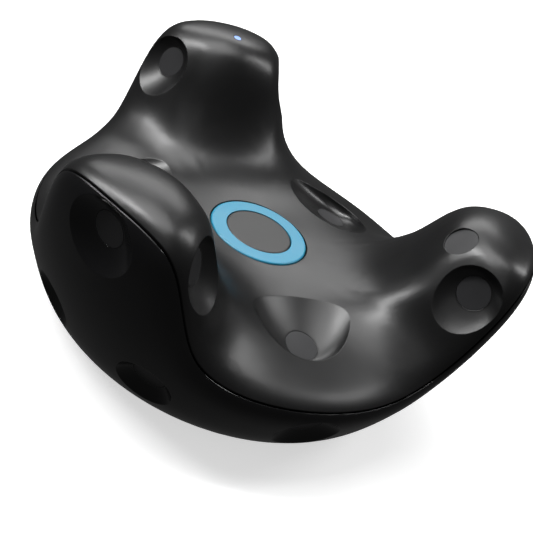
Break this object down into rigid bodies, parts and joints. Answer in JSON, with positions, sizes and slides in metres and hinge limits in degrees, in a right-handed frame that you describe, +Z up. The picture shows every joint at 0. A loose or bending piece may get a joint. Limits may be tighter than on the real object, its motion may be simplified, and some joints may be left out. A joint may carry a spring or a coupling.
{
  "type": "vr motion tracker",
  "caption": "Three-pronged puck with a ringed power button on top, recessed sensor windows all round and a camera-screw thread in its base.",
  "frame": {"origin": "centre of the resting face, on the tripod thread's axis", "axes": "+Z up through the power button; +Y towards the prong with the status light, over the charging port"},
  "size_m": [0.0876, 0.0856, 0.0427],
  "materials": {
    "casing_top": "satin black moulded polycarbonate",
    "casing_base": "near-black moulded plastic with a soft gloss",
    "pad_rubber": "matt elastomer",
    "insert_brass": "nickel-plated brass",
    "black_plastic": "moulded ABS",
    "gold_contact": "gold-plated",
    "button_blue": "sky blue translucent plastic",
    "button_dark": "satin black plastic",
    "switch_white": "moulded nylon",
    "circuit_board": "fibreglass with green solder mask",
    "chip_black": "moulded epoxy",
    "tinned_steel": "tin-plated steel",
    "cell_foil": "laminated foil pouch",
    "foam": "closed-cell foam tape",
    "lead_red": "silicone insulated wire",
    "flex_amber": "polyimide film",
    "screw_steel": "black-oxide steel",
    "led_white": "surface-mount diode",
    "light_pipe": "clear acrylic with a blue tint",
    "window_dark": "infrared-pass dark window"
  },
  "bodies": {
    "casing": {"bottom_shell": "casing_base", "top_shell": "casing_top", "friction_pad": "pad_rubber", "threaded_insert": "insert_brass", "contact_block": "black_plastic", "contact_pads": "gold_contact", "button_guide": "black_plastic", "switch_body": "black_plastic", "main_board": "circuit_board", "processors": "chip_black", "shield_can": "tinned_steel", "antenna": "gold_contact", "battery": "cell_foil", "battery_pad": "foam", "battery_tray": "black_plastic", "battery_connector": "switch_white", "battery_leads": "lead_red", "contact_flex": "flex_amber", "usb_flex": "flex_amber", "sensor_flexes": "flex_amber", "case_screws": "screw_steel", "usb_connector": "tinned_steel", "usb_board": "circuit_board", "light_board": "circuit_board", "status_led": "led_white", "light_pipe": "light_pipe", "windows_top": "window_dark", "windows_bottom": "window_dark", "photodiodes_top": "chip_black", "photodiodes_bottom": "chip_black", "sensor_boards_top": "circuit_board", "sensor_boards_bottom": "circuit_board"},
    "button": {"power_button": "button_blue", "button_centre": "button_dark"},
    "plunger": {"switch_plunger": "switch_white"}
  },
  "joints": [
    {"name": "button_press", "type": "slide", "parent": "casing", "child": "button", "axis": [0, 0, -1], "range_m": [0, 0.0005]},
    {"name": "switch_press", "type": "slide", "parent": "casing", "child": "plunger", "axis": [0, 0, -1], "range_m": [0, 0.0005]}
  ],
  "couplings": [
    {"joint": "switch_press", "follows": "button_press", "ratio": 1}
  ]
}
